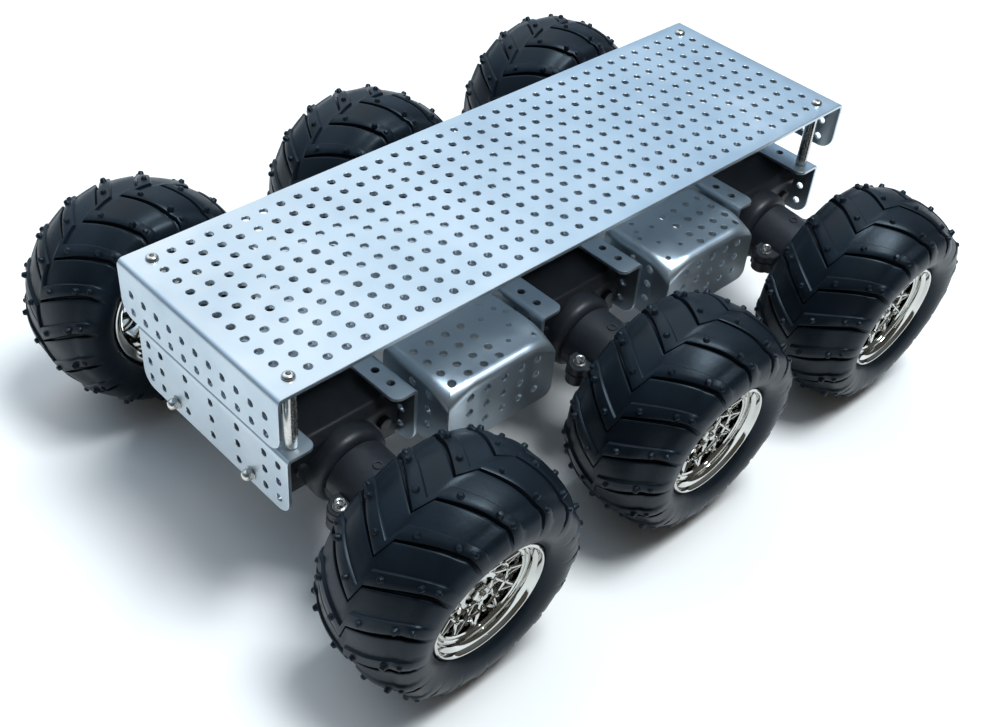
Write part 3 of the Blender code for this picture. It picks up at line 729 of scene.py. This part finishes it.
def rim_mesh():
    """Chrome rim in the wheel's frame: narrow stepped lips, a barrel, and a lattice of crossing spokes just behind the outer lip."""
    s = Shape()
    s.rings([(30.5, 26.5), (31.1, 26.2), (31.2, 25.2), (28.1, 23.9), (27.2, 22.8), (27.2, -22.8), (28.1, -23.9), (31.2, -25.2), (31.1, -26.2),
             (30.5, -26.5), (29.4, -26.3), (26.6, -24.4), (25.9, -22.6), (25.7, -8), (25.5, 10.0), (25.4, 17.0), (25.7, 20.2), (26.4, 20.9),
             (27.4, 21.1), (27.8, 21.7), (28.0, 23.0), (28.6, 23.5), (29.1, 24.4), (29.5, 25.9), (29.9, 26.4)], (0, 0, 0), (0, 1, 0), 80, closed=True)
    s.rings([(23.4, 18.2), (25.3, 18.0), (25.5, 18.8), (25.5, 20.5), (25.1, 21.0), (24.0, 21.0), (23.4, 20.5)], (0, 0, 0), (0, 1, 0), 80, closed=True)
    s.rings([(15.4, 16.9), (16.6, 16.7), (17.0, 17.3), (17.0, 19.2), (16.6, 19.7), (15.8, 19.7), (15.4, 19.2)], (0, 0, 0), (0, 1, 0), 64, closed=True)
    s.rings([(7.4, 13.0), (9.6, 13.4), (10.6, 15.0), (10.6, 17.9), (9.9, 18.7), (7.9, 18.9), (7.4, 18.3)], (0, 0, 0), (0, 1, 0), 48, closed=True)
    n = 12
    for k in range(n):
        for sg, dz in ((1, 0.0), (-1, 0.35)):
            t0 = 2 * PI * k / n
            t1 = t0 + sg * 2 * PI / n * 0.98
            p = Vector((9.6 * math.sin(t0), 16.6 + dz, 9.6 * math.cos(t0)))
            e = Vector((24.6 * math.sin(t1), 19.0 + dz, 24.6 * math.cos(t1)))
            d = (e - p).normalized()
            side = d.cross(Vector((0, 1, 0))).normalized()
            up = side.cross(d).normalized() * (1 if side.cross(d).y > 0 else -1)
            sec = [(-0.95, -1.6), (-0.95, 0.4), (-0.4, 1.1), (0.4, 1.1), (0.95, 0.4), (0.95, -1.6)]
            vs = [c + side * a + up * b for c in (p, e) for a, b in sec]
            m = len(sec)
            s.add(vs, [(i, (i + 1) % m, m + (i + 1) % m, m + i) for i in range(m)] + [tuple(range(m)), tuple(range(m, 2 * m))])
        t = 2 * PI * (k + 0.5) / n
        s.rings([(0, 0), (1.15, 0), (1.15, 1.6), (0.8, 2.1), (0, 2.2)], (16.2 * math.sin(t), 18.4, 16.2 * math.cos(t)), (0, 1, 0), 14)
    ob = s.make("rim_base", "chrome", angle=30)
    return ob.data, ob


def hub_mesh():
    s = Shape()
    s.rod((0, 47.5 - ARM, 0), (0, 109 - ARM, 0), 2.0, 0.3, 20)
    s.rod((0, 62 - ARM, 0), (0, 103.4 - ARM, 0), 6.8, 0.5, 36, "h")
    s.rings([(2.1, 0), (6.2, 0), (6.4, 0.3), (6.2, 1.3), (2.1, 1.3)], (0, 106.0 - ARM, 0), (0, 1, 0), 36, closed=True)
    s.rings([(2.1, 0), (4.4, 0, "h"), (4.6, 0.4, "h"), (4.6, 3.6, "h"), (4.0, 4.2, "h"), (2.1, 4.2)], (0, 107.3 - ARM, 0), (0, 1, 0), 36, 0.1, closed=True)
    s.rod((0, 103 - ARM, 0), (0, 113 - ARM, 0), 2.1, 0.4, 20)
    ob = s.make("hub_base", "steel")
    return ob.data, ob


def place_shared(data, name, tag, body, node):
    ob = bpy.data.objects.new(name, data)
    SC.collection.objects.link(ob)
    m = wheel_place(tag)
    m.translation *= MM
    ob.matrix_world = m
    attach(ob, body)
    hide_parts(node)


def wheels():
    left, a = tyre_mesh(False)
    right, b = tyre_mesh(True)
    rim, c = rim_mesh()
    hub, d = hub_mesh()
    for ob in (a, b, c, d):
        bpy.data.objects.remove(ob)
    for tag in TAGS:
        body = f"wheel_{tag}"
        place_shared(right if tag.endswith("right") else left, f"treaded_tyre_{tag}", tag, body, f"tyre_{tag}")
        place_shared(rim, f"spoked_rim_{tag}", tag, body, f"rim_{tag}")
        place_shared(hub, f"hex_hub_{tag}", tag, body, f"axle_hub_{tag}")


def springs():
    for tag in TAGS:
        lo, hi = (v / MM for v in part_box(f"spring_{tag}"))
        c = (lo + hi) / 2
        turns, n, m, wire, rad = 7, 7 * 18, 10, 0.5, 3.3
        V, F = [], []
        for i in range(n + 1):
            t = 2 * PI * turns * i / n
            z = lo.z + 0.7 + (hi.z - lo.z - 1.4) * i / n
            out = Vector((math.cos(t), math.sin(t), 0))
            for k in range(m):
                q = 2 * PI * k / m
                V.append(Vector((c.x, c.y, z)) + out * (rad + wire * math.cos(q)) + Vector((0, 0, wire * math.sin(q))))
        for i in range(n):
            for k in range(m):
                F.append((i * m + k, i * m + (k + 1) % m, (i + 1) * m + (k + 1) % m, (i + 1) * m + k))
        F += [tuple(range(m)), tuple(n * m + k for k in range(m))]
        ob = make(f"coil_{tag}", V, F, "spring")
        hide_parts(f"spring_{tag}")
        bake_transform(ob)


# ------------------------------------------------------------------ build
top_plate()
deck()
bracket("front", BR_X0, BR_X1, -150.0)
bracket("mid", -36.25, 36.25, 0.0)
bracket("rear", -BR_X1, -BR_X0, 150.0)
hardware()
for tag in TAGS:
    arm_meshes(tag)
wheels()
springs()
for tag in TAGS:
    o = frame["nodes"][f"gearmotor_{tag}"]
    o.data.materials.clear()
    o.data.materials.append(M["can"])

# ------------------------------------------------------------------ floor, light, camera
fm = bpy.data.materials.new("floor_white")
fm.use_nodes = True
fb = fm.node_tree.nodes["Principled BSDF"]
fb.inputs["Base Color"].default_value = (0.95, 0.925, 0.89, 1)
fb.inputs["Roughness"].default_value = 0.9
me = bpy.data.meshes.new("floor")
me.from_pydata([(-6, -6, 0), (6, -6, 0), (6, 6, 0), (-6, 6, 0)], [], [(0, 1, 2, 3)])
me.materials.append(fm)
floor = bpy.data.objects.new("floor", me)
SC.collection.objects.link(floor)

world = bpy.data.worlds.new("studio")
SC.world = world
world.use_nodes = True
wt = world.node_tree
bg = wt.nodes["Background"]
tc = wt.nodes.new("ShaderNodeTexCoord")
dot = wt.nodes.new("ShaderNodeVectorMath")
dot.operation = "DOT_PRODUCT"
dot.inputs[1].default_value = Vector((0.166, 0.621, 0.766)).normalized()
wt.links.new(tc.outputs["Generated"], dot.inputs[0])
cr = wt.nodes.new("ShaderNodeValToRGB")
el = cr.color_ramp.elements
for _ in range(4):
    el.new(0.5)
for i, (p, c) in enumerate([(0.0, (0.060, 0.055, 0.048)), (0.45, (0.12, 0.13, 0.14)), (0.68, (0.25, 0.33, 0.42)),
                            (0.80, (0.42, 0.58, 0.76)), (0.90, (0.66, 0.82, 0.94)), (0.95, (1.0, 1.0, 1.0))]):
    el[i].position = p
    el[i].color = (*c, 1)
wt.links.new(dot.outputs["Value"], cr.inputs["Fac"])
wt.links.new(cr.outputs["Color"], bg.inputs["Color"])
bg.inputs["Strength"].default_value = 1.5


def area(name, loc, target, size, power, colour, size_y=None):
    l = bpy.data.lights.new(name, "AREA")
    l.shape = "RECTANGLE"
    l.size, l.size_y = size, size_y or size
    l.energy = power
    l.color = colour
    o = bpy.data.objects.new(name, l)
    o.location = loc
    o.rotation_mode = "QUATERNION"
    o.rotation_quaternion = (Vector(target) - Vector(loc)).to_track_quat("-Z", "Y")
    SC.collection.objects.link(o)


area("overhead", (0.45, -0.55, 2.3), (0, 0, 0), 0.9, 58, (0.86, 0.94, 1.0))

RV = Vector((2.1853480383849697, -0.8256864806980935, 0.4636299173833638))
R = Matrix.Rotation(RV.length, 3, RV.normalized())
cam = bpy.data.cameras.new("camera")
cam.sensor_fit = "HORIZONTAL"
cam.sensor_width = 36.0
cam.lens = 1313.6192 * 36.0 / 983.0
cam.clip_start, cam.clip_end = 0.01, 30.0
co = bpy.data.objects.new("camera", cam)
T = Vector((14.790416357078577, -95.17878893718891, 654.0894663739823))
pos = -(R.transposed() @ T) * MM + Vector((0, 0, TOP_Z * MM))
co.matrix_world = Matrix.Translation(pos) @ (R.transposed() @ Matrix.Diagonal((1, -1, -1))).to_4x4()
SC.collection.objects.link(co)
SC.camera = co
SC.view_settings.view_transform = "Standard"
